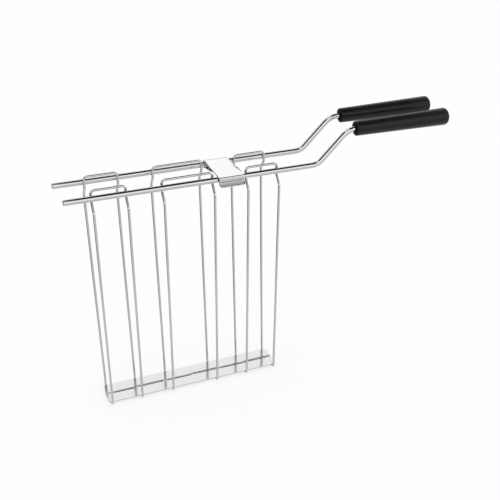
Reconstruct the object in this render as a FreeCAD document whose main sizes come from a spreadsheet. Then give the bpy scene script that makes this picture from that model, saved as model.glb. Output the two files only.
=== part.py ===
import FreeCAD, Part
import Sketcher
import math
import os

# A rack that holds a sandwich in a slot toaster.  Two wire grids are joined by a knuckle hinge along their
# base, each is welded to a long handle rod, and a latch plate on the far rod hooks over the near rod.
# Millimetres, +Z up.  X runs along the rods towards the grips, and Y runs through the bread, with the far
# side at +Y.  The origin is under the middle of the whole rack, on the table.

DIMENSIONS = {
    # Handle rods: X places are measured from the middle of the basket.
    "rod_radius": (1.9, "drawn steel rod"),
    "rod_spacing": (28.2, "between the two rod axes"),
    "rod_level": (165.7, "rod axis above the table"),
    "rod_reach": (82.0, "basket middle to the free tip, on average"),
    "stagger": (1.2, "the far rod and grip reach this much beyond the average, and the near ones stop short"),
    "rod_tip_chamfer": (0.35, "broken edge at the free tip"),
    "ramp_foot": (92.4, "basket middle to the corner where the rod starts to rise"),
    "ramp_angle": (45.0, "slope of the rising run, degrees"),
    "grip_level": (188.0, "grip axis above the table"),
    "lower_bend": (10.0, "centre-line radius where a rod starts to rise"),
    "upper_bend": (15.0, "centre-line radius where it levels off"),
    # Grips
    "grip_start": (120.9, "basket middle to the grip's front face, on average"),
    "grip_length": (72.5, "length of the grip"),
    "grip_front_radius": (5.1, "at the rod end"),
    "grip_back_radius": (6.1, "at the outer end"),
    "grip_front_chamfer": (0.6, "front edge"),
    "grip_back_round": (2.0, "outer edge"),
    "grip_bore": (1.88, "bore radius, a press fit on the rod"),
    "grip_bore_depth": (32.0, "how far the rod goes in"),
    # Wire loops
    "wire_radius": (0.8, "grid wire"),
    "weld_sink": (0.1, "how far welded pieces sink into each other"),
    "wire_bend": (2.4, "centre-line radius of every wire bend"),
    "middle_half_width": (17.15, "middle loop, to the leg axis"),
    "outer_half_width": (11.12, "left and right loops, to the leg axis"),
    "outer_centre": (51.88, "basket middle to the middle of an outer loop"),
    "loop_rise": (4.4, "top bar axis above the rod axis"),
    "kink_start": (3.2, "below the rod axis, where a leg starts to step outward"),
    "kink_end": (9.6, "below the rod axis, where the step ends"),
    "leg_top_offset": (16.65, "leg axis from the mid-plane, at the end of the step"),
    "leg_foot_offset": (12.15, "leg axis from the mid-plane, at the foot"),
    "foot_end_offset": (5.0, "where the foot ends under the base leaf"),
    # Base leaves and their hinge
    "leaf_half_length": (65.3, "middle to the end of a leaf"),
    "leaf_width": (10.4, "mid-plane to the outer edge"),
    "leaf_thickness": (0.7, "sheet"),
    "leaf_corner": (3.0, "outer corners"),
    "barrel_radius": (1.05, "hinge knuckle, outside"),
    "barrel_level": (1.15, "hinge axis above the table; the barrel's top is flush with the leaves"),
    "barrel_gap": (0.35, "knuckle to the other leaf's edge"),
    "knuckle_gap": (0.2, "between neighbouring knuckles"),
    "pin_radius": (0.5, "hinge pin"),
    "pin_clearance": (0.05, "radial, in the near leaf's knuckles"),
    "pin_grip": (0.01, "radial interference in the far leaf's knuckles"),
    "pin_overhang": (0.5, "pin past each end of the barrel"),
    # Latch plate
    "latch_centre": (28.6, "basket middle to the middle of the latch"),
    "latch_width": (17.4, "along the rods"),
    "latch_thickness": (0.8, "sheet"),
    "curl_clearance": (0.1, "radial, between the curl and the far rod"),
    # The hook's corners are measured from the near rod's axis to the middle of the sheet.
    "hook_reach": (4.2, "out to the hook's wall"),
    "hook_wall_end": (0.4, "up to the wall's lower end, where the sheet turns in"),
    "crease_reach": (2.8, "out to the crease above the lip"),
    "crease_depth": (1.8, "down to that crease"),
    "lip_reach": (7.0, "out to the edge of the finger lip"),
    "lip_depth": (3.0, "down to that edge"),
    "shoulder_bend": (0.5, "centre-line radius at the top of the wall"),
    "crease_bend": (0.5, "centre-line radius of the two bends below it"),
    "flange_depth": (4.4, "side flange beside the far rod, from the top of the plate"),
    "flange_knee": (10.9, "far rod to the point where a flange starts to taper off"),
    "flange_knee_depth": (3.3, "side flange at that point"),
    "flange_end": (18.0, "far rod to the near end of a flange"),
    "flange_end_depth": (1.3, "side flange at its near end"),
    "flange_rod_gap": (1.3, "end of a flange to the rod beside it"),
}

STAGGER = {"far": "sizes.stagger", "near": "(-sizes.stagger)"}
KNUCKLES = 6                        # three on each leaf, taken in turns
BASKET_X = "(sizes.rod_reach - sizes.grip_start - sizes.grip_length) / 2"
WIRE_Y = "(sizes.rod_spacing / 2 - sizes.rod_radius - sizes.wire_radius + sizes.weld_sink)"
KNUCKLE_PITCH = "(2 * sizes.leaf_half_length / %d)" % KNUCKLES

document = FreeCAD.newDocument("sandwich_rack")


# ---------------------------------------------------------------- helpers

def make_sheet():
    """The driving dimensions, one row each: what it is, its value and a note."""
    sheet = document.addObject("Spreadsheet::Sheet", "sizes")
    for row, (alias, (value, note)) in enumerate(DIMENSIONS.items(), start=1):
        sheet.set("A%d" % row, alias.replace("_", " "))
        sheet.set("B%d" % row, str(value))
        sheet.set("C%d" % row, note)
        sheet.setAlias("B%d" % row, alias)
    document.recompute()
    return sheet


def value_of(expression):
    """What an expression on the sheet comes to at the moment."""
    return float(sheet.evalExpression(expression))


def point_at(across, up):
    return FreeCAD.Vector(value_of(across), value_of(up), 0)


def new_body(name):
    body = document.addObject("PartDesign::Body", name)
    body.Label = name
    return body


def place(piece, x="0", y="0", z="0", turned=False):
    """Bind a piece's place to the sheet.  A turned piece is the far one swung half a turn about Z."""
    if turned:
        piece.Placement.Rotation = FreeCAD.Rotation(FreeCAD.Vector(0, 0, 1), 180)
    piece.setExpression("Placement.Base.x", BASKET_X + " + " + x)
    piece.setExpression("Placement.Base.y", y)
    piece.setExpression("Placement.Base.z", z)


def new_sketch(body, name, role, offset=None):
    """A sketch on one of the body's own origin planes, moved along the plane's normal by an expression."""
    sketch = body.newObject("Sketcher::SketchObject", name)
    plane = next(p for p in body.Origin.OriginFeatures if p.Role == role)
    sketch.AttachmentSupport = [(plane, "")]
    sketch.MapMode = "FlatFace"
    if offset:
        sketch.setExpression("AttachmentOffset.Base.z", offset)
    return sketch


def dimension(sketch, kind, expression, *where):
    """A dimensional constraint whose value is bound to the sheet."""
    index = sketch.addConstraint(Sketcher.Constraint(kind, *where, value_of(expression)))
    sketch.setExpression("Constraints[%d]" % index, expression)


def pin_point(sketch, geometry, end, across, up):
    """Dimension one point of a sketch from the sketch's origin."""
    dimension(sketch, "DistanceX", across, -1, 1, geometry, end)
    dimension(sketch, "DistanceY", up, -1, 1, geometry, end)


def circle(sketch, across, up, radius):
    ring = Part.Circle(point_at(across, up), FreeCAD.Vector(0, 0, 1), value_of(radius))
    index = sketch.addGeometry(ring)
    dimension(sketch, "Radius", radius, index)
    pin_point(sketch, index, 3, across, up)


def polygon(sketch, corners):
    """A closed outline of straight edges.  Each corner is a pair of expressions."""
    points = [point_at(*corner) for corner in corners]
    edges = [sketch.addGeometry(Part.LineSegment(start, end))
             for start, end in zip(points, points[1:] + points[:1])]
    for i in range(len(corners)):
        sketch.addConstraint(Sketcher.Constraint("Coincident", edges[i - 1], 2, edges[i], 1))
        pin_point(sketch, edges[i], 1, *corners[i])


def bent_path(sketch, corners, radii):
    """Straight runs through the corners, joined by tangent arcs, with a radius for each bend.

    Each corner is a pair of expressions.  A construction point stands at each corner, the runs pass
    through those points, and the arcs touch the runs.  Gives back the runs.
    """
    points = [point_at(*corner) for corner in corners]
    sizes = [value_of(radius) for radius in radii]
    marks = []
    for point, corner in zip(points, corners):
        mark = sketch.addGeometry(Part.Point(point), True)
        pin_point(sketch, mark, 1, *corner)
        marks.append(mark)
    joints = [(points[0], points[0])]
    arcs = []
    for before, corner, after, size in zip(points, points[1:], points[2:], sizes):
        back = (before - corner).normalize()
        on = (after - corner).normalize()
        half = back.getAngle(on) / 2
        start = corner + back * (size / math.tan(half))
        end = corner + on * (size / math.tan(half))
        middle = corner + (back + on).normalize() * (size / math.sin(half) - size)
        joints.append((start, end))
        arcs.append((start, middle, end))
    joints.append((points[-1], points[-1]))
    runs = [sketch.addGeometry(Part.LineSegment(joints[i][1], joints[i + 1][0]))
            for i in range(len(points) - 1)]
    sketch.addConstraint(Sketcher.Constraint("Coincident", runs[0], 1, marks[0], 1))
    sketch.addConstraint(Sketcher.Constraint("Coincident", runs[-1], 2, marks[-1], 1))
    for i, (start, middle, end) in enumerate(arcs):
        bend = sketch.addGeometry(Part.Arc(start, middle, end))
        sketch.addConstraint(Sketcher.Constraint("PointOnObject", marks[i + 1], 1, runs[i]))
        sketch.addConstraint(Sketcher.Constraint("PointOnObject", marks[i + 1], 1, runs[i + 1]))
        tail, head = bend_ends(sketch, bend, start)
        sketch.addConstraint(Sketcher.Constraint("Tangent", runs[i], 2, bend, tail))
        sketch.addConstraint(Sketcher.Constraint("Tangent", bend, head, runs[i + 1], 1))
        dimension(sketch, "Radius", radii[i], bend)
    return runs


def bend_ends(sketch, bend, start):
    """A sketched arc always runs anticlockwise, so find which of its ends is the start of the bend."""
    starts_first = sketch.getPoint(bend, 1).distanceToPoint(start) < 0.01
    return (1, 2) if starts_first else (2, 1)


def pipe(body, name, section, spine):
    feature = body.newObject("PartDesign::AdditivePipe", name)
    feature.Profile = section
    feature.Spine = (spine, [])
    feature.Mode = "Standard"
    return feature


def pad(body, name, sketch, length, backwards=False):
    feature = body.newObject("PartDesign::Pad", name)
    feature.Profile = sketch
    feature.setExpression("Length", length)
    feature.Reversed = backwards
    return feature


def mirrored(body, name, originals):
    """Mirror features across the body's own YZ plane."""
    feature = body.newObject("PartDesign::Mirrored", name)
    feature.Originals = originals
    plane = next(p for p in body.Origin.OriginFeatures if p.Role == "YZ_Plane")
    feature.MirrorPlane = (plane, [""])
    body.Tip = feature
    return feature


def dress(body, kind, name, base, size, chosen):
    """A fillet or chamfer on the edges of base that the test chooses."""
    document.recompute()
    names = ["Edge%d" % (i + 1) for i, edge in enumerate(base.Shape.Edges) if chosen(edge)]
    feature = body.newObject("PartDesign::" + kind, name)
    feature.Base = (base, names)
    feature.setExpression("Radius" if kind == "Fillet" else "Size", size)
    return feature


# ---------------------------------------------------------------- the two handle rods and their grips

def make_rod(side, y):
    """A straight rod that rises in a short ramp and ends level, inside the grip."""
    body = new_body(side + "_rod")
    spine = new_sketch(body, side + "_rod_spine", "XZ_Plane")
    rise = "sizes.grip_level - sizes.rod_level"
    tip_x = "-sizes.rod_reach - " + STAGGER[side]
    bent_path(spine, [(tip_x, "0"),
                      ("sizes.ramp_foot", "0"),
                      ("sizes.ramp_foot + (%s) / tan(sizes.ramp_angle)" % rise, rise),
                      ("sizes.grip_start + sizes.grip_bore_depth + " + STAGGER[side], rise)],
              ["sizes.lower_bend", "sizes.upper_bend"])
    section = new_sketch(body, side + "_rod_section", "YZ_Plane", tip_x)
    circle(section, "0", "0", "sizes.rod_radius")
    sweep = pipe(body, side + "_rod_sweep", section, spine)
    tip = value_of(tip_x)
    dress(body, "Chamfer", side + "_rod_tip", sweep, "sizes.rod_tip_chamfer",
          lambda edge: edge.BoundBox.XMax < tip + 0.01)
    place(body, y=y, z="sizes.rod_level")
    return body


def make_grip(side, y):
    """A slightly tapered round grip with a blind bore for the rod."""
    body = new_body(side + "_grip")
    outline = new_sketch(body, side + "_grip_outline", "XZ_Plane")
    polygon(outline, [("0", "sizes.grip_bore"),
                      ("0", "sizes.grip_front_radius"),
                      ("sizes.grip_length", "sizes.grip_back_radius"),
                      ("sizes.grip_length", "0"),
                      ("sizes.grip_bore_depth", "0"),
                      ("sizes.grip_bore_depth", "sizes.grip_bore")])
    turned = body.newObject("PartDesign::Revolution", side + "_grip_turned")
    turned.Profile = outline
    turned.ReferenceAxis = (outline, ["H_Axis"])
    turned.Angle = 360.0
    length = value_of("sizes.grip_length")
    front_radius = value_of("sizes.grip_front_radius")
    back_radius = value_of("sizes.grip_back_radius")
    eased = dress(body, "Chamfer", side + "_grip_front_edge", turned, "sizes.grip_front_chamfer",
                  lambda edge: edge.BoundBox.XMax < 0.01 and edge.BoundBox.ZMax > front_radius - 0.01)
    dress(body, "Fillet", side + "_grip_back_edge", eased, "sizes.grip_back_round",
          lambda edge: edge.BoundBox.XMin > length - 0.01 and edge.BoundBox.ZMax > back_radius - 0.01)
    place(body, x="sizes.grip_start + " + STAGGER[side], y=y, z="sizes.grip_level")
    return body


# ---------------------------------------------------------------- the wire loops

def make_wire_loop(side, where, centre, half_width):
    """One upside-down U of wire.

    The top bar stands above the rod, the legs pass down its inner side, step outward under it, run down
    to the base and turn inward as feet under the leaf.
    """
    name = "%s_wire_%s" % (side, where)
    body = new_body(name)
    top = new_sketch(body, name + "_top", "XZ_Plane")
    bent_path(top, [("-" + half_width, "0"), ("-" + half_width, "sizes.loop_rise"),
                    (half_width, "sizes.loop_rise"), (half_width, "0")], ["sizes.wire_bend"] * 2)
    top_section = new_sketch(body, name + "_top_section", "XY_Plane")
    circle(top_section, "-" + half_width, "0", "sizes.wire_radius")
    pipe(body, name + "_bar", top_section, top)

    leg = new_sketch(body, name + "_leg", "YZ_Plane", half_width)
    foot_level = "sizes.wire_radius - sizes.rod_level"
    bent_path(leg, [("0", "0"),
                    ("0", "-sizes.kink_start"),
                    ("sizes.leg_top_offset - %s" % WIRE_Y, "-sizes.kink_end"),
                    ("sizes.leg_foot_offset - %s" % WIRE_Y, foot_level),
                    ("sizes.foot_end_offset - %s" % WIRE_Y, foot_level)], ["sizes.wire_bend"] * 3)
    leg_section = new_sketch(body, name + "_leg_section", "XY_Plane")
    circle(leg_section, half_width, "0", "sizes.wire_radius")
    right_leg = pipe(body, name + "_right_leg", leg_section, leg)
    mirrored(body, name + "_left_leg", [right_leg])
    if side == "far":
        place(body, x=centre, y=WIRE_Y, z="sizes.rod_level")
    else:
        place(body, x=centre, y="-" + WIRE_Y, z="sizes.rod_level", turned=True)
    return body


# ---------------------------------------------------------------- the hinged base

def make_leaf(side, bore):
    """Half of the base: a flat sheet on the feet, with every other knuckle of the hinge."""
    body = new_body(side + "_base_leaf")
    prefix = side + "_leaf"
    under = "2 * sizes.wire_radius - sizes.weld_sink"
    inner_edge = "sizes.barrel_radius + sizes.barrel_gap"

    plate_outline = new_sketch(body, prefix + "_outline", "XY_Plane", under)
    polygon(plate_outline, [("-sizes.leaf_half_length", inner_edge),
                            ("sizes.leaf_half_length", inner_edge),
                            ("sizes.leaf_half_length", "sizes.leaf_width"),
                            ("-sizes.leaf_half_length", "sizes.leaf_width")])
    plate = pad(body, prefix + "_plate", plate_outline, "sizes.leaf_thickness")
    outer = value_of("sizes.leaf_width")
    dress(body, "Fillet", prefix + "_corners", plate, "sizes.leaf_corner",
          lambda edge: edge.BoundBox.YMin > outer - 0.01 and edge.BoundBox.XLength < 0.01)

    left = "(-sizes.leaf_half_length + sizes.knuckle_gap / 2)"
    knuckle_length = "%s - sizes.knuckle_gap" % KNUCKLE_PITCH
    tongue_outline = new_sketch(body, prefix + "_tongue_outline", "YZ_Plane", left)
    polygon(tongue_outline, [("sizes.pin_radius + sizes.pin_clearance", under),
                             (inner_edge + " + sizes.weld_sink", under),
                             (inner_edge + " + sizes.weld_sink", under + " + sizes.leaf_thickness"),
                             ("sizes.pin_radius + sizes.pin_clearance", under + " + sizes.leaf_thickness")])
    tongue = pad(body, prefix + "_tongue", tongue_outline, knuckle_length)
    barrel_outline = new_sketch(body, prefix + "_barrel_outline", "YZ_Plane", left)
    circle(barrel_outline, "0", "sizes.barrel_level", "sizes.barrel_radius")
    barrel = pad(body, prefix + "_barrel", barrel_outline, knuckle_length)

    row = body.newObject("PartDesign::LinearPattern", prefix + "_knuckles")
    row.Originals = [tongue, barrel]
    row.Direction = (barrel_outline, ["N_Axis"])
    row.Occurrences = KNUCKLES // 2
    row.setExpression("Length", "%s * 2 * (%d - 1)" % (KNUCKLE_PITCH, KNUCKLES // 2))
    body.Tip = row
    document.recompute()
    solid_volume = row.Shape.Volume

    bore_outline = new_sketch(body, prefix + "_bore_outline", "YZ_Plane")
    circle(bore_outline, "0", "sizes.barrel_level", bore)
    drilled = body.newObject("PartDesign::Pocket", prefix + "_bore")
    drilled.Profile = bore_outline
    drilled.SideType = "Symmetric"
    drilled.setExpression("Length", "4 * sizes.leaf_half_length")
    document.recompute()
    if drilled.Shape.Volume > solid_volume - 1:
        raise RuntimeError(prefix + ": the bore cut nothing")
    place(body, turned=side == "near")
    return body


def make_pin():
    """The hinge pin, gripped by the far leaf's knuckles."""
    pin = document.addObject("Part::Cylinder", "hinge_pin")
    pin.Label = "hinge_pin"
    pin.setExpression("Radius", "sizes.pin_radius")
    pin.setExpression("Height", "2 * (sizes.leaf_half_length + sizes.pin_overhang)")
    pin.Placement.Rotation = FreeCAD.Rotation(FreeCAD.Vector(0, 1, 0), 90)
    place(pin, x="(-sizes.leaf_half_length - sizes.pin_overhang)", z="sizes.barrel_level")
    return pin


# ---------------------------------------------------------------- the latch

CURL = "(sizes.rod_radius + sizes.curl_clearance + sizes.latch_thickness / 2)"
NEAR_ROD = "-sizes.rod_spacing"
CURL_START, CURL_END = math.radians(180), math.radians(450)


def draw_latch_spine(spine):
    """The middle of the latch's sheet, seen along the rods, with the far rod's axis at the origin.

    It curls three quarters round the far rod, crosses level to the near rod, turns down as the hook's
    wall, turns in below the rod and, past a tight crease, flares outward as a finger lip.
    """
    ring = Part.Circle(point_at("0", "0"), FreeCAD.Vector(0, 0, 1), value_of(CURL))
    curl = spine.addGeometry(Part.ArcOfCircle(ring, CURL_START, CURL_END))
    runs = bent_path(spine, [("0", CURL),
                             (NEAR_ROD + " - sizes.hook_reach", CURL),
                             (NEAR_ROD + " - sizes.hook_reach", "sizes.hook_wall_end"),
                             (NEAR_ROD + " - sizes.crease_reach", "-sizes.crease_depth"),
                             (NEAR_ROD + " - sizes.lip_reach", "-sizes.lip_depth")],
                     ["sizes.shoulder_bend", "sizes.crease_bend", "sizes.crease_bend"])
    spine.addConstraint(Sketcher.Constraint("Coincident", curl, 3, -1, 1))
    spine.addConstraint(Sketcher.Constraint("Coincident", curl, 2, runs[0], 1))
    spine.addConstraint(Sketcher.Constraint("PointOnObject", curl, 1, -1))


def make_latch():
    """A bent plate: a curl round the far rod, a flat top, a hook over the near rod and a finger lip."""
    body = new_body("latch_plate")
    spine = new_sketch(body, "latch_spine", "YZ_Plane")
    draw_latch_spine(spine)
    section = new_sketch(body, "latch_section", "XY_Plane")
    inner = "-%s + sizes.latch_thickness / 2" % CURL
    outer = "-%s - sizes.latch_thickness / 2" % CURL
    polygon(section, [("-sizes.latch_width / 2", outer),
                      ("sizes.latch_width / 2", outer),
                      ("sizes.latch_width / 2", inner),
                      ("-sizes.latch_width / 2", inner)])
    pipe(body, "latch_strip", section, spine)

    flange_outline = new_sketch(body, "latch_flange_outline", "YZ_Plane", "sizes.latch_width / 2")
    beside_far_rod = "-sizes.rod_radius - sizes.flange_rod_gap"
    plate_top = "%s + sizes.latch_thickness / 2" % CURL
    polygon(flange_outline, [("-sizes.flange_end", plate_top + " - sizes.flange_end_depth"),
                             ("-sizes.flange_knee", plate_top + " - sizes.flange_knee_depth"),
                             (beside_far_rod, plate_top + " - sizes.flange_depth"),
                             (beside_far_rod, CURL),
                             ("-sizes.flange_end", CURL)])
    flange = pad(body, "latch_right_flange", flange_outline, "sizes.latch_thickness", backwards=True)
    mirrored(body, "latch_left_flange", [flange])
    place(body, x="sizes.latch_centre", y="sizes.rod_spacing / 2", z="sizes.rod_level")
    return body


# ---------------------------------------------------------------- the whole rack

def check(pieces):
    """Stop if any object failed to recompute or any piece isn't one sound solid."""
    for thing in document.Objects:
        if "Invalid" in thing.State or "Error" in thing.State:
            raise RuntimeError("%s did not recompute: %s" % (thing.Name, thing.State))
    for piece in pieces:
        shape = piece.Shape
        if shape.isNull() or not shape.isValid() or len(shape.Solids) != 1:
            raise RuntimeError(piece.Label + " is not one valid solid")


sheet = make_sheet()
pieces = []
for side, rod_y in (("far", "sizes.rod_spacing / 2"), ("near", "-sizes.rod_spacing / 2")):
    pieces.append(make_rod(side, rod_y))
    pieces.append(make_grip(side, rod_y))
    for where, centre, half_width in (("left", "-sizes.outer_centre", "sizes.outer_half_width"),
                                      ("middle", "0", "sizes.middle_half_width"),
                                      ("right", "sizes.outer_centre", "sizes.outer_half_width")):
        pieces.append(make_wire_loop(side, where, centre, half_width))
pieces.append(make_leaf("far", "sizes.pin_radius - sizes.pin_grip"))
pieces.append(make_leaf("near", "sizes.pin_radius + sizes.pin_clearance"))
pieces.append(make_pin())
pieces.append(make_latch())
document.recompute()
check(pieces)

os.makedirs("parts", exist_ok=True)
for piece in pieces:
    piece.Shape.exportStep("parts/%s.step" % piece.Label)
    box = piece.Shape.BoundBox
    print("%-18s %9.1f mm3  X %7.2f %7.2f  Y %7.2f %7.2f  Z %7.2f %7.2f" % (
        piece.Label, piece.Shape.Volume, box.XMin, box.XMax, box.YMin, box.YMax, box.ZMin, box.ZMax))
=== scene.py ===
import math

import bmesh
import bpy
from mathutils import Matrix, Vector


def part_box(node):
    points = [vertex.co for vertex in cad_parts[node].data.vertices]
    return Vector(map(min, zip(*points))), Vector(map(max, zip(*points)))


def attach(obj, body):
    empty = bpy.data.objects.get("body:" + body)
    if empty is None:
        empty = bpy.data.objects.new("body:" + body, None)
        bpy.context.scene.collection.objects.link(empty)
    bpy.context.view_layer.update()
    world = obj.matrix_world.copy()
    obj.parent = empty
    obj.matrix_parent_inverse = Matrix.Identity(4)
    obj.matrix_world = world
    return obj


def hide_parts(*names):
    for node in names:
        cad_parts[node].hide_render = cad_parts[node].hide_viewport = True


# A wire sandwich rack for a slot toaster, in metres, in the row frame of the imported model: +X runs along
# the rods towards the grips, +Y from the near half to the far half, +Z up from the table.

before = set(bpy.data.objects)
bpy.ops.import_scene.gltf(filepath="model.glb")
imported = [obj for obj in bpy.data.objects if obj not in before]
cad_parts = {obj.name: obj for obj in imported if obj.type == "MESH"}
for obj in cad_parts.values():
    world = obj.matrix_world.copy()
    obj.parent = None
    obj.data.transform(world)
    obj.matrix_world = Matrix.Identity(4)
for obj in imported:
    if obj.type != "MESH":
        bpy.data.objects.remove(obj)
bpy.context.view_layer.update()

MM = 0.001
UV_LENGTH = 10 * MM             # along a wire or bar for one unit of its UV map

# Sizes of the bent pieces that a node's box doesn't give
LOWER_BEND = 10 * MM            # centre-line radius where a rod starts to rise
UPPER_BEND = 15 * MM            # and where it levels off
ROD_EDGE = 0.4 * MM             # rounded off at a rod's ends
RAMP_FOOT_X = 36.7 * MM         # corner where the rods start to rise
RAMP_ANGLE = math.radians(45)
GRIP_TAPER = 1.0 * MM           # front radius less than the outer end's
GRIP_RIM = 1.5 * MM             # width of the rounded rim round the front
GRIP_FUNNEL = 2.6 * MM          # depth of the funnel inside the rim
GRIP_FUNNEL_LIP = (0.2 * MM, 0.5 * MM)      # along and across, where the funnel meets the bore
GRIP_BORE = 14 * MM             # depth that is modelled; the rod hides the rest
GRIP_PINCH = 0.02 * MM          # bore's radius less than the rod's, so that no gap shows
GRIP_SIDE = (0.1, 0.4, 0.7)     # rings along the tapered side, as shares of the length
GRIP_END_ROUND = 2.4 * MM
ARC_STEPS = 8                   # of a grip's rim and outer end
WIRE_RADIUS = 0.8 * MM
WIRE_BEND = 2.4 * MM
WIRE_EDGE = 0.15 * MM
# Half sizes of the weld beads, along the rods, across and up
ROD_BEAD = (1.05 * MM, 0.42 * MM, 0.85 * MM)
FOOT_BEAD = (0.8 * MM, 1.3 * MM, 0.3 * MM)
LOOP_INSET = 2.6 * MM           # from a rod's axis inward to the axis of the wire welded to it
KINK_START = 3.2 * MM           # below the rod's axis, where a leg steps outward
KINK_END = 9.6 * MM
LEG_TOP_Y = 16.65 * MM
LEG_FOOT_Y = 12.15 * MM
LEAF_THICKNESS = 0.7 * MM
LEAF_UNDERSIDE = 1.5 * MM
LEAF_CORNER = 3 * MM
LEAF_EDGE = 0.12 * MM           # eased off the sheet and the knuckles
# Where the flat sheet ends inside a knuckle, from the pin, as a share of the knuckle's radius
LEAF_INTO_BARREL = 0.75
BARREL_RADIUS = 1.05 * MM
BARREL_LEVEL = 1.15 * MM
BARREL_GAP = 0.35 * MM
KNUCKLES = 6
KNUCKLE_GAP = 0.2 * MM
EDGE_CORNER = 0.3               # how far in the middle of a rounded edge lies, as a share of it
PIN_RADIUS = 0.5 * MM
PIN_CLEARANCE = 0.05 * MM
PIN_EDGE = 0.25 * MM
SHEET = 0.8 * MM                # latch plate
CURL_RADIUS = 2.4 * MM          # middle of the sheet, round the far rod
# The hook's corners, from the near rod's axis to the middle of the sheet, and its bends
HOOK_REACH = 4.2 * MM           # out to the wall
WALL_END = 0.4 * MM             # up to where the wall turns in
CREASE_REACH, CREASE_DEPTH = 2.8 * MM, 1.8 * MM
LIP_REACH, LIP_DEPTH = 7.0 * MM, 3.0 * MM
SHOULDER_BEND, CREASE_BEND = 0.5 * MM, 0.5 * MM
LIP_CORNER = 1.6 * MM           # rounded off seen from above
LIP_STEPS = 8
# Lower edge of a side flange: (from the far rod's axis towards the near rod, below the plate's top)
FLANGE_EDGE = ((3.2 * MM, 4.4 * MM), (10.9 * MM, 3.3 * MM), (18.0 * MM, 1.3 * MM))
FLANGE_BEND = 0.5 * MM          # middle of the sheet
FLANGE_STEPS = 6                # of its bend
PLATE_COLUMNS = 8
CURL_STEPS = 36
SHEET_EDGE = 0.16 * MM

SIDES = {"far": 1, "near": -1}
LOOPS = ("left", "middle", "right")


# ---------------------------------------------------------------- mesh helpers

def new_piece(name, mesh, material, body, node):
    """Put a finished mesh in the scene, riding on its body and standing for its CAD node."""
    piece = bpy.data.objects.new(name, mesh)
    bpy.context.scene.collection.objects.link(piece)
    mesh.materials.append(material)
    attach(piece, body)
    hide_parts(node)
    return piece


def mesh_from(name, build, smooth_angle=40):
    """Fill a new mesh with a bmesh builder, weld it, face it outward and shade it."""
    made = bmesh.new()
    made.loops.layers.uv.new("UVMap")
    build(made)
    bmesh.ops.remove_doubles(made, verts=made.verts, dist=1e-7)
    bmesh.ops.recalc_face_normals(made, faces=made.faces)
    mesh = bpy.data.meshes.new(name)
    made.to_mesh(mesh)
    made.free()
    mesh.set_sharp_from_angle(angle=math.radians(smooth_angle))
    mesh.polygons.foreach_set("use_smooth", [len(face.vertices) < 5 for face in mesh.polygons])
    return mesh


def bent_route(corners, bends, steps=12):
    """The centre line of a bent rod: straight runs joined by tangent arcs, with a radius for each."""
    route = [corners[0].copy()]
    for before, corner, after, bend in zip(corners, corners[1:], corners[2:], bends):
        back = (before - corner).normalized()
        on = (after - corner).normalized()
        half = back.angle(on) / 2
        centre = corner + (back + on).normalized() * (bend / math.sin(half))
        start = corner + back * (bend / math.tan(half)) - centre
        axis = back.cross(on).normalized()
        for step in range(steps + 1):
            turn = Matrix.Rotation(-(math.pi - 2 * half) * step / steps, 3, axis)
            route.append(centre + turn @ start)
    route.append(corners[-1].copy())
    return route


def rounded_ends(radius, edge, steps=5):
    """(place along, radius) of the rings that round off one end, from the end face inward."""
    rings = []
    for step in range(steps + 1):
        angle = math.pi / 2 * step / steps
        rings.append((edge * (1 - math.cos(angle)), radius - edge + edge * math.sin(angle)))
    return rings


def tube(route, radius, edge, sides=32):
    """A builder for a round bar along a route, with rounded ends."""
    def build(made):
        uv = made.loops.layers.uv.active
        stations = []
        first = (route[1] - route[0]).normalized()
        last = (route[-1] - route[-2]).normalized()
        rim = rounded_ends(radius, edge)
        for along, size in rim:
            stations.append((route[0] + first * along, size))
        stations += [(point, radius) for point in route[1:-1]]
        for along, size in reversed(rim):
            stations.append((route[-1] - last * along, size))
        side = first.orthogonal().normalized()
        rings = []
        run = 0.0
        for i, (point, size) in enumerate(stations):
            before = stations[max(i - 1, 0)][0]
            after = stations[min(i + 1, len(stations) - 1)][0]
            heading = (after - before).normalized()
            side = (side - heading * side.dot(heading)).normalized()
            other = heading.cross(side)
            run += (point - before).length
            ring = [made.verts.new(point + (side * math.cos(a) + other * math.sin(a)) * size)
                    for a in (2 * math.pi * k / sides for k in range(sides))]
            rings.append((run, ring))
        for (low, ring), (high, following) in zip(rings, rings[1:]):
            for k in range(sides):
                j = (k + 1) % sides
                face = made.faces.new((ring[k], ring[j], following[j], following[k]))
                around = (k / sides, (k + 1) / sides, (k + 1) / sides, k / sides)
                for loop, u, v in zip(face.loops, around, (low, low, high, high)):
                    loop[uv].uv = (u, v / UV_LENGTH)
        made.faces.new(rings[0][1])
        made.faces.new(rings[-1][1])
    return build


def lathe(origin, profile, closed=False, sides=48):
    """A builder for a solid turned about an axis along +X.  The profile is (along, radius) pairs."""
    def build(made):
        uv = made.loops.layers.uv.active
        rings = []
        for along, size in profile:
            centre = origin + Vector((along, 0, 0))
            if size < 1e-9:
                rings.append([made.verts.new(centre)])
                continue
            rings.append([made.verts.new(centre + Vector((0, math.cos(a), math.sin(a))) * size)
                          for a in (2 * math.pi * k / sides for k in range(sides))])
        pairs = list(zip(range(len(rings)), range(1, len(rings))))
        if closed:
            pairs.append((len(rings) - 1, 0))
        for low, high in pairs:
            ring, following = rings[low], rings[high]
            for k in range(sides):
                j = (k + 1) % sides
                corners = [ring[k % len(ring)], ring[j % len(ring)],
                           following[j % len(following)], following[k % len(following)]]
                corners = list(dict.fromkeys(corners))
                face = made.faces.new(corners)
                for loop in face.loops:
                    along = (loop.vert.co.x - origin.x) / UV_LENGTH
                    turn = k / sides if loop.vert in (ring[k % len(ring)], following[k % len(following)]) \
                        else (k + 1) / sides
                    loop[uv].uv = (turn, along)
    return build


def all_of(*builders):
    def build(made):
        for builder in builders:
            builder(made)
    return build


# ---------------------------------------------------------------- materials

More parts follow.
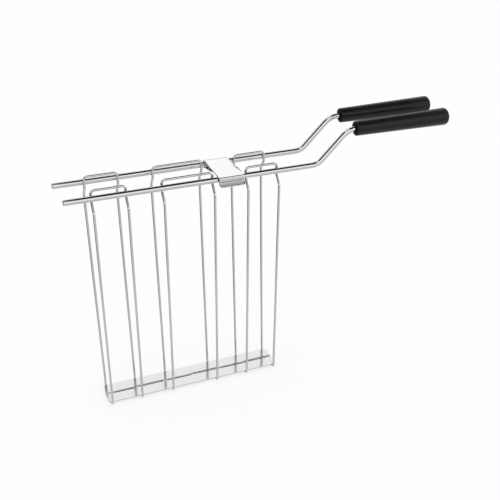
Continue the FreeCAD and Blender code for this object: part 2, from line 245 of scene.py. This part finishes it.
PLATING = (0.50, 0.50, 0.505, 1)
SATIN_STEEL = (0.56, 0.56, 0.565, 1)
BLACK_LOW = (0.0035, 0.0035, 0.0037, 1)
BLACK_HIGH = (0.0065, 0.0065, 0.0068, 1)
# Roughness from the glossiest to the dullest spots
PLATING_GLOSS = (0.035, 0.085)
ROLLED_GLOSS = (0.10, 0.20)
SATIN_GLOSS = (0.10, 0.17)
PLASTIC_GLOSS = (0.27, 0.34)
PLASTIC_SPECULAR = 0.2
# How the grain is stretched: short across it, long along it
ROLLED_GRAIN = (30, 1800, 1800)
BRUSHED_GRAIN = (60, 2600, 2600)
DRAWN_LINES = (40, 0.6, 1)
NOISE_LOW, NOISE_HIGH = 0.3, 0.7
NOISE_ROUGHNESS = 0.6


def new_material(name):
    material = bpy.data.materials.new(name)
    material.use_nodes = True
    nodes = material.node_tree.nodes
    return material, nodes, material.node_tree.links, nodes["Principled BSDF"]


def add_bump(nodes, links, shader, height, strength, distance):
    bump = nodes.new("ShaderNodeBump")
    bump.inputs["Strength"].default_value = strength
    bump.inputs["Distance"].default_value = distance
    links.new(height, bump.inputs["Height"])
    links.new(bump.outputs["Normal"], shader.inputs["Normal"])


def noise(nodes, links, source, stretch, scale, detail=4.0):
    """Noise on a stretched coordinate, for grain."""
    mapping = nodes.new("ShaderNodeMapping")
    mapping.inputs["Scale"].default_value = stretch
    texture = nodes.new("ShaderNodeTexNoise")
    texture.inputs["Scale"].default_value = scale
    texture.inputs["Detail"].default_value = detail
    texture.inputs["Roughness"].default_value = NOISE_ROUGHNESS
    links.new(source, mapping.inputs["Vector"])
    links.new(mapping.outputs["Vector"], texture.inputs["Vector"])
    return texture.outputs["Fac"]


def ramp_between(nodes, links, factor, low, high):
    """A noise between its usual darkest and brightest, stretched from low to high."""
    spread = nodes.new("ShaderNodeMapRange")
    spread.inputs["From Min"].default_value = NOISE_LOW
    spread.inputs["From Max"].default_value = NOISE_HIGH
    spread.inputs["To Min"].default_value = low
    spread.inputs["To Max"].default_value = high
    links.new(factor, spread.inputs["Value"])
    return spread.outputs["Result"]


def chrome_material():
    """Bright plating on drawn wire: faint lines along the wire and a slightly uneven gloss."""
    material, nodes, links, shader = new_material("chrome_plating")
    shader.inputs["Metallic"].default_value = 1.0
    shader.inputs["Base Color"].default_value = PLATING
    uv = nodes.new("ShaderNodeUVMap").outputs["UV"]
    cloud = noise(nodes, links, uv, (3, 1, 1), 2.0)
    links.new(ramp_between(nodes, links, cloud, *PLATING_GLOSS), shader.inputs["Roughness"])
    lines = noise(nodes, links, uv, DRAWN_LINES, 1.0, 3.0)
    add_bump(nodes, links, shader, lines, 0.03, 0.00002)
    return material


def polished_material():
    """Bright plating on rolled sheet, with a fine grain along the hinge."""
    material, nodes, links, shader = new_material("polished_sheet")
    shader.inputs["Metallic"].default_value = 1.0
    shader.inputs["Base Color"].default_value = PLATING
    place = nodes.new("ShaderNodeTexCoord").outputs["Object"]
    grain = noise(nodes, links, place, ROLLED_GRAIN, 1.0, 3.0)
    links.new(ramp_between(nodes, links, grain, *ROLLED_GLOSS), shader.inputs["Roughness"])
    add_bump(nodes, links, shader, grain, 0.05, 0.00002)
    return material


def brushed_material():
    """Pale satin steel, brushed across the rods."""
    material, nodes, links, shader = new_material("brushed_sheet")
    shader.inputs["Metallic"].default_value = 1.0
    shader.inputs["Base Color"].default_value = SATIN_STEEL
    place = nodes.new("ShaderNodeTexCoord").outputs["Object"]
    grain = noise(nodes, links, place, BRUSHED_GRAIN, 1.0, 4.0)
    links.new(ramp_between(nodes, links, grain, *SATIN_GLOSS), shader.inputs["Roughness"])
    add_bump(nodes, links, shader, grain, 0.12, 0.00003)
    return material


def grip_material():
    """Black moulded plastic with a fine matt texture."""
    material, nodes, links, shader = new_material("grip_plastic")
    place = nodes.new("ShaderNodeTexCoord").outputs["Object"]
    cloud = noise(nodes, links, place, (1, 1, 1), 140.0)
    mottle = nodes.new("ShaderNodeMix")
    mottle.data_type = "RGBA"
    mottle.inputs["A"].default_value = BLACK_LOW
    mottle.inputs["B"].default_value = BLACK_HIGH
    links.new(cloud, mottle.inputs["Factor"])
    links.new(mottle.outputs["Result"], shader.inputs["Base Color"])
    links.new(ramp_between(nodes, links, cloud, *PLASTIC_GLOSS), shader.inputs["Roughness"])
    pores = noise(nodes, links, place, (1, 1, 1), 2600.0, 2.0)
    add_bump(nodes, links, shader, pores, 0.25, 0.00004)
    shader.inputs["Specular IOR Level"].default_value = PLASTIC_SPECULAR
    return material


CHROME = chrome_material()
POLISHED = polished_material()
BRUSHED = brushed_material()
PLASTIC = grip_material()


# ---------------------------------------------------------------- rods and grips

def rod_axis(side):
    """(y, level) of a rod's straight run, and its radius."""
    low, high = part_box(side + "_rod")
    radius = (high.y - low.y) / 2
    return (low.y + high.y) / 2, low.z + radius, radius


def make_rod(side):
    low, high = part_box(side + "_rod")
    y, level, radius = rod_axis(side)
    grip_level = high.z - radius
    ramp_top_x = RAMP_FOOT_X + (grip_level - level) / math.tan(RAMP_ANGLE)
    corners = [Vector((low.x, y, level)), Vector((RAMP_FOOT_X, y, level)),
               Vector((ramp_top_x, y, grip_level)), Vector((high.x, y, grip_level))]
    route = bent_route(corners, (LOWER_BEND, UPPER_BEND), steps=20)
    mesh = mesh_from(side + "_rod_bar", tube(route, radius, ROD_EDGE, sides=48))
    new_piece(side + "_rod_bar", mesh, CHROME, side + "_side", side + "_rod")


def make_grip(side):
    """A tapered moulded grip.  Its front has a rounded rim round a funnel that the rod goes into."""
    low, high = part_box(side + "_grip")
    centre = (low + high) / 2
    rod_radius = rod_axis(side)[2]
    back = (high.z - low.z) / 2
    length = high.x - low.x
    front = back - GRIP_TAPER
    rim = GRIP_RIM / 2
    bore = rod_radius - GRIP_PINCH
    lip_back, lip_out = GRIP_FUNNEL_LIP
    profile = [(GRIP_BORE, bore), (GRIP_FUNNEL, bore),
               (GRIP_FUNNEL - lip_back, rod_radius + lip_out), (rim, front - GRIP_RIM)]
    for step in range(ARC_STEPS + 1):
        turn = math.pi * step / ARC_STEPS
        profile.append((rim - rim * math.sin(turn), front - rim - rim * math.cos(turn)))
    for share in GRIP_SIDE:
        profile.append((length * share, front + (back - front) * share))
    shoulder = length - GRIP_END_ROUND
    for step in range(ARC_STEPS + 1):
        turn = math.pi / 2 * step / ARC_STEPS
        profile.append((shoulder + GRIP_END_ROUND * math.sin(turn),
                        back - GRIP_END_ROUND * (1 - math.cos(turn))))
    profile.append((length, 0))
    mesh = mesh_from(side + "_grip_shell", lathe(Vector((low.x, centre.y, centre.z)), profile, sides=64))
    new_piece(side + "_grip_shell", mesh, PLASTIC, side + "_side", side + "_grip")


# ---------------------------------------------------------------- wire loops

def weld_bead(centre, size):
    """A builder for the small flattened bead that a cross-wire weld squeezes out."""
    def build(made):
        for vert in bmesh.ops.create_icosphere(made, subdivisions=3, radius=1.0)["verts"]:
            lump = 1 + 0.06 * math.sin(5 * vert.co.x + 2) + 0.05 * math.sin(7 * vert.co.z)
            vert.co = centre + Vector([part * extent * lump for part, extent in zip(vert.co, size)])
    return build


def make_loop(side, where):
    """An upside-down U of wire, whose legs step outward under the rod and end as feet under the leaf."""
    sign = SIDES[side]
    node = "%s_wire_%s" % (side, where)
    low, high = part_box(node)
    rod_y, rod_level, rod_radius = rod_axis(side)
    inner_y = rod_y - sign * LOOP_INSET
    foot_end = low.y if side == "far" else high.y
    foot_level, top_level = low.z + WIRE_RADIUS, high.z - WIRE_RADIUS
    left, right = low.x + WIRE_RADIUS, high.x - WIRE_RADIUS

    def leg(x):
        return [Vector((x, foot_end, foot_level)), Vector((x, sign * LEG_FOOT_Y, foot_level)),
                Vector((x, sign * LEG_TOP_Y, rod_level - KINK_END)),
                Vector((x, inner_y, rod_level - KINK_START)), Vector((x, inner_y, top_level))]

    corners = leg(left) + list(reversed(leg(right)))
    wire = tube(bent_route(corners, [WIRE_BEND] * (len(corners) - 2)), WIRE_RADIUS, WIRE_EDGE, sides=32)
    contact_y = (inner_y + sign * WIRE_RADIUS + rod_y - sign * rod_radius) / 2
    beads = [weld_bead(Vector((x, contact_y, rod_level)), ROD_BEAD)
             for x in (left, right)]
    foot_middle = (foot_end + sign * LEG_FOOT_Y) / 2
    beads += [weld_bead(Vector((x, foot_middle, foot_level + WIRE_RADIUS)), FOOT_BEAD)
              for x in (left, right)]
    mesh = mesh_from(node + "_loop", all_of(wire, *beads))
    new_piece(node + "_loop", mesh, CHROME, side + "_side", node)


# ---------------------------------------------------------------- base leaves

def flat_plate(outline, bottom, thickness, edge):
    """A builder for a flat sheet with eased edges.  The outline is a list of (x, y)."""
    def build(made):
        lower = [made.verts.new((x, y, bottom)) for x, y in outline]
        upper = [made.verts.new((x, y, bottom + thickness)) for x, y in outline]
        count = len(outline)
        made.faces.new(lower)
        made.faces.new(upper)
        for i in range(count):
            j = (i + 1) % count
            made.faces.new((lower[i], lower[j], upper[j], upper[i]))
        rim = [e for e in made.edges if e.verts[0] in lower and e.verts[1] in lower
               or e.verts[0] in upper and e.verts[1] in upper]
        bmesh.ops.bevel(made, geom=rim, offset=edge, segments=3, profile=0.5, affect="EDGES")
    return build


def corner_arc(centre, radius, start, steps=8):
    """A quarter turn of an outline, anticlockwise from the start angle."""
    return [(centre[0] + radius * math.cos(start + math.pi / 2 * k / steps),
             centre[1] + radius * math.sin(start + math.pi / 2 * k / steps)) for k in range(steps + 1)]


def make_leaf(side):
    """A flat sheet with rounded outer corners, and every other knuckle rolled round the pin."""
    sign = SIDES[side]
    node = side + "_base_leaf"
    low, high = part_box(node)
    half = (high.x - low.x) / 2
    middle = (high.x + low.x) / 2
    width = max(abs(low.y), abs(high.y))
    inner = BARREL_RADIUS + BARREL_GAP
    joined = BARREL_RADIUS * LEAF_INTO_BARREL
    pitch = 2 * half / KNUCKLES
    outline = corner_arc((half - LEAF_CORNER, width - LEAF_CORNER), LEAF_CORNER, 0)
    outline += corner_arc((LEAF_CORNER - half, width - LEAF_CORNER), LEAF_CORNER, math.pi / 2)
    barrels = []
    for knuckle in range(0, KNUCKLES, 2):
        start = -half + knuckle * pitch + KNUCKLE_GAP / 2
        end = start + pitch - KNUCKLE_GAP
        outline += [(start, inner), (start, joined), (end, joined), (end, inner)]
        barrels.append((start, end))
    outline.append((half, inner))

    def turned(x, y):
        return middle + sign * x, sign * y

    plate = flat_plate([turned(x, y) for x, y in outline], LEAF_UNDERSIDE, LEAF_THICKNESS, LEAF_EDGE)
    edge = LEAF_EDGE
    bore = PIN_RADIUS + PIN_CLEARANCE
    rolled = []
    for start, end in barrels:
        first = min(turned(start, 0)[0], turned(end, 0)[0])
        length = end - start
        profile = [(0, bore + edge), (edge, bore), (length - edge, bore), (length, bore + edge),
                   (length, BARREL_RADIUS - edge),
                   (length - edge * EDGE_CORNER, BARREL_RADIUS - edge * EDGE_CORNER),
                   (length - edge, BARREL_RADIUS), (edge, BARREL_RADIUS),
                   (edge * EDGE_CORNER, BARREL_RADIUS - edge * EDGE_CORNER), (0, BARREL_RADIUS - edge)]
        rolled.append(lathe(Vector((first, 0, BARREL_LEVEL)), profile, closed=True, sides=40))
    mesh = mesh_from(node + "_sheet", all_of(plate, *rolled), smooth_angle=35)
    new_piece(node + "_sheet", mesh, POLISHED, side + "_side", node)


def make_pin():
    low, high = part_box("hinge_pin")
    length = high.x - low.x
    profile = [(0, 0)]
    for along, size in rounded_ends(PIN_RADIUS, PIN_EDGE):
        profile.append((along, size))
    for along, size in reversed(rounded_ends(PIN_RADIUS, PIN_EDGE)):
        profile.append((length - along, size))
    profile.append((length, 0))
    mesh = mesh_from("hinge_pin_bar", lathe(Vector((low.x, 0, BARREL_LEVEL)), profile, sides=32))
    new_piece("hinge_pin_bar", mesh, CHROME, "far_side", "hinge_pin")


# ---------------------------------------------------------------- latch plate

def latch_line():
    """The middle of the latch's sheet, as (y, z) from the end of the curl to the tip of the lip.

    The index is where the flat top starts.  It ends at the next point.
    """
    far_y, level, _ = rod_axis("far")
    near_y = rod_axis("near")[0]
    top = level + CURL_RADIUS
    wall_y = near_y - HOOK_REACH
    turns = [math.pi + 1.5 * math.pi * k / CURL_STEPS for k in range(CURL_STEPS)]
    line = [(far_y + CURL_RADIUS * math.cos(a), level + CURL_RADIUS * math.sin(a)) for a in turns]
    corners = [(far_y, top), (wall_y, top), (wall_y, level + WALL_END),
               (near_y - CREASE_REACH, level - CREASE_DEPTH), (near_y - LIP_REACH, level - LIP_DEPTH)]
    route = bent_route([Vector((0, y, z)) for y, z in corners],
                       (SHOULDER_BEND, CREASE_BEND, CREASE_BEND), steps=8)
    tip = route.pop()
    heading = (tip - route[-1]).normalized()
    for k in range(LIP_STEPS):
        route.append(tip - heading * LIP_CORNER * (1 - math.sin(math.pi / 2 * k / (LIP_STEPS - 1))))
    return line + [(point.y, point.z) for point in route], len(line)


def make_latch():
    """One bent plate: its middle surface, which modifiers give thickness and eased edges."""
    low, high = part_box("latch_plate")
    centre_x, half = (low.x + high.x) / 2, (high.x - low.x) / 2
    line, flat_start = latch_line()
    far_y, top = line[flat_start]
    inner_half = half - SHEET / 2 - FLANGE_BEND
    rows = line[:flat_start + 1] + [(far_y - back, top) for back, _ in FLANGE_EDGE] + line[flat_start + 1:]
    flange_rows = range(flat_start + 1, flat_start + 1 + len(FLANGE_EDGE))
    lip_rows = len(rows) - LIP_STEPS
    columns = [inner_half * (2 * k / PLATE_COLUMNS - 1) for k in range(PLATE_COLUMNS + 1)]
    last = len(columns) - 1

    def edge_x(row):
        """Half the plate's width at a row, less at the lip's rounded corners."""
        if row <= lip_rows:
            return half
        turn = math.pi / 2 * (row - lip_rows) / (LIP_STEPS - 1)
        return half - LIP_CORNER * (1 - math.cos(turn))

    def build(made):
        grid = [[made.verts.new((centre_x + x * min(1, edge_x(i) / half), y, z)) for x in columns]
                for i, (y, z) in enumerate(rows)]
        for i in range(len(rows) - 1):
            for k in range(last):
                made.faces.new((grid[i][k], grid[i][k + 1], grid[i + 1][k + 1], grid[i + 1][k]))
        for sign, side in ((-1, 0), (1, last)):
            outer = [made.verts.new((centre_x + sign * edge_x(i), y, z)) for i, (y, z) in enumerate(rows)]
            for i in range(len(rows) - 1):
                if i not in flange_rows[:-1]:
                    made.faces.new((grid[i][side], outer[i], outer[i + 1], grid[i + 1][side]))
            before = [grid[i][side] for i in flange_rows]
            for k in range(1, FLANGE_STEPS + 2):
                turn = math.pi / 2 * min(k, FLANGE_STEPS) / FLANGE_STEPS
                x = inner_half + FLANGE_BEND * math.sin(turn)
                after = []
                for row, (_, depth) in zip(flange_rows, FLANGE_EDGE):
                    bend = FLANGE_BEND * (1 - math.cos(turn))
                    drop = bend if k <= FLANGE_STEPS else depth - SHEET / 2
                    after.append(made.verts.new((centre_x + sign * x, rows[row][0], rows[row][1] - drop)))
                for j in range(len(before) - 1):
                    made.faces.new((before[j], after[j], after[j + 1], before[j + 1]))
                before = after

    mesh = mesh_from("latch_plate_sheet", build, smooth_angle=60)
    piece = new_piece("latch_plate_sheet", mesh, BRUSHED, "latch", "latch_plate")
    solid = piece.modifiers.new("sheet", "SOLIDIFY")
    solid.thickness = SHEET
    solid.offset = 0
    solid.use_even_offset = True
    eased = piece.modifiers.new("eased_edges", "BEVEL")
    eased.width = SHEET_EDGE
    eased.segments = 3
    eased.limit_method = "ANGLE"
    eased.angle_limit = math.radians(50)


# ---------------------------------------------------------------- studio

CAMERA_AZIMUTH, CAMERA_ELEVATION = -21.144, 28.604      # degrees
CAMERA_TARGET = (-7.48 * MM, 0, 100.43 * MM)
CAMERA_DISTANCE = 0.5706
CAMERA_LENS = 56.91             # mm, on a 36 mm sensor
FLOOR_COLOUR = (0.25, 0.25, 0.25, 1)
FLOOR_GLOW = 0.71               # keeps the paper nearly white, with the soft shadows left in
FLOOR_HALF = 4.0
EVEN_LIGHT = 1.12               # what lights the floor and other matt surfaces
ROOM_BRIGHTNESS = 1.62          # what bright metal reflects
PAPER_BRIGHTNESS = 0.98
DARK_LEVEL = 0.03
STRIP_FRONT = (46, 54)          # degrees about the rods
STRIP_BACK = (136, 128)
# Where each panel starts and ends, as the part of a direction that lies along the rods
PANELS = (((-0.88, -0.78), (-0.34, -0.42)), ((-0.07, -0.01), (0.62, 0.54)))
BETWEEN_PANELS = 0.4            # how much of the strip's darkness is left outside its panels
PAPER_EDGE = (-34, -29)         # degrees of elevation
WALL_TOP = (20, 8)
HORIZON = (0.02, -0.02)         # upward parts of a direction between which the room turns to paper
WALL_SIDE = (-0.5, 0.86, 0)
WALL_SPREAD = (0.05, 0.55)      # cosines of the angle from its middle
STAND_SIDE = (-0.36, -0.93, -0.05)
STAND_SPREAD = (0.945, 0.975)


def make_camera():
    """A mild telephoto from the front left, above the rods."""
    azimuth, elevation = math.radians(CAMERA_AZIMUTH), math.radians(CAMERA_ELEVATION)
    back = Vector((math.sin(azimuth) * math.cos(elevation), -math.cos(azimuth) * math.cos(elevation),
                   math.sin(elevation)))
    data = bpy.data.cameras.new("camera")
    data.sensor_width = 36
    data.lens = CAMERA_LENS
    data.clip_start, data.clip_end = 0.01, 20
    camera = bpy.data.objects.new("camera", data)
    bpy.context.scene.collection.objects.link(camera)
    camera.location = Vector(CAMERA_TARGET) + back * CAMERA_DISTANCE
    camera.rotation_mode = "QUATERNION"
    camera.rotation_quaternion = (-back).to_track_quat("-Z", "Y")
    bpy.context.scene.camera = camera


def make_floor():
    """A wide pale floor."""
    material, nodes, links, shader = new_material("floor_paper")
    shader.inputs["Base Color"].default_value = FLOOR_COLOUR
    shader.inputs["Roughness"].default_value = 0.9
    shader.inputs["Specular IOR Level"].default_value = 0.0
    shader.inputs["Emission Color"].default_value = (1, 1, 1, 1)
    shader.inputs["Emission Strength"].default_value = FLOOR_GLOW

    def build(made):
        bmesh.ops.create_grid(made, x_segments=2, y_segments=2, size=FLOOR_HALF)

    floor = bpy.data.objects.new("floor", mesh_from("floor", build))
    bpy.context.scene.collection.objects.link(floor)
    floor.data.materials.append(material)
    floor.visible_glossy = False


def math_node(nodes, links, operation, *values):
    node = nodes.new("ShaderNodeMath")
    node.operation = operation
    for socket, value in zip(node.inputs, values):
        if isinstance(value, (int, float)):
            socket.default_value = value
        else:
            links.new(value, socket)
    return node.outputs[0]


def smooth_step(nodes, links, value, start, end):
    """0 below start and 1 above end, or the other way round if start is the larger."""
    step = nodes.new("ShaderNodeMapRange")
    step.interpolation_type = "SMOOTHSTEP"
    step.inputs["From Min"].default_value = min(start, end)
    step.inputs["From Max"].default_value = max(start, end)
    step.inputs["To Min"].default_value = float(start > end)
    step.inputs["To Max"].default_value = float(start < end)
    links.new(value, step.inputs["Value"])
    return step.outputs["Result"]


def towards(nodes, links, direction, aim):
    """The cosine of the angle between a direction and an aim."""
    dot = nodes.new("ShaderNodeVectorMath")
    dot.operation = "DOT_PRODUCT"
    links.new(direction, dot.inputs[0])
    dot.inputs[1].default_value = Vector(aim).normalized()
    return dot.outputs["Value"]


def make_world():
    """Even white light, and for reflections a bright room with darker parts.

    Overhead is a dark strip along the rods, placed by the angle about the rods' direction, from 0 at the
    front horizon, over the top, to 180 degrees at the horizon behind.  It has two dark panels and is greyer
    between and beside them.  Below is white paper, behind on the left a dark wall, and in front a dark
    stand.
    """
    world = bpy.data.worlds.new("studio")
    world.use_nodes = True
    bpy.context.scene.world = world
    nodes, links = world.node_tree.nodes, world.node_tree.links
    direction = nodes.new("ShaderNodeTexCoord").outputs["Generated"]
    parts = nodes.new("ShaderNodeSeparateXYZ")
    links.new(direction, parts.inputs["Vector"])
    x, y, z = parts.outputs
    front = math_node(nodes, links, "MULTIPLY", y, -1)
    about_rods = math_node(nodes, links, "ARCTAN2", z, front)
    strip = math_node(nodes, links, "MULTIPLY",
                      smooth_step(nodes, links, about_rods, *[math.radians(a) for a in STRIP_FRONT]),
                      smooth_step(nodes, links, about_rods, *[math.radians(a) for a in STRIP_BACK]))
    left, right = [math_node(nodes, links, "MULTIPLY", smooth_step(nodes, links, x, *start),
                             smooth_step(nodes, links, x, *end)) for start, end in PANELS]
    panels = math_node(nodes, links, "ADD", left, right)
    strip = math_node(nodes, links, "MULTIPLY", strip,
                      math_node(nodes, links, "MULTIPLY_ADD", panels, 1 - BETWEEN_PANELS, BETWEEN_PANELS))
    low_band = math_node(nodes, links, "MULTIPLY",
                         smooth_step(nodes, links, z, *[math.sin(math.radians(a)) for a in PAPER_EDGE]),
                         smooth_step(nodes, links, z, *[math.sin(math.radians(a)) for a in WALL_TOP]))
    wall = math_node(nodes, links, "MULTIPLY", low_band,
                     smooth_step(nodes, links, towards(nodes, links, direction, WALL_SIDE), *WALL_SPREAD))
    stand = smooth_step(nodes, links, towards(nodes, links, direction, STAND_SIDE), *STAND_SPREAD)
    dark = math_node(nodes, links, "MAXIMUM", strip, math_node(nodes, links, "MAXIMUM", wall, stand))
    below = smooth_step(nodes, links, z, *HORIZON)
    bright = nodes.new("ShaderNodeMix")
    links.new(below, bright.inputs["Factor"])
    bright.inputs["A"].default_value = ROOM_BRIGHTNESS
    bright.inputs["B"].default_value = PAPER_BRIGHTNESS
    level = nodes.new("ShaderNodeMix")
    links.new(dark, level.inputs["Factor"])
    links.new(bright.outputs["Result"], level.inputs["A"])
    level.inputs["B"].default_value = DARK_LEVEL
    seen = nodes.new("ShaderNodeMix")
    links.new(nodes.new("ShaderNodeLightPath").outputs["Is Glossy Ray"], seen.inputs["Factor"])
    seen.inputs["A"].default_value = EVEN_LIGHT
    links.new(level.outputs["Result"], seen.inputs["B"])
    background = nodes["Background"]
    background.inputs["Color"].default_value = (1, 1, 1, 1)
    links.new(seen.outputs["Result"], background.inputs["Strength"])


for side in SIDES:
    make_rod(side)
    make_grip(side)
    for where in LOOPS:
        make_loop(side, where)
    make_leaf(side)
make_pin()
make_latch()
make_camera()
make_floor()
make_world()
bpy.context.scene.view_settings.view_transform = "Standard"
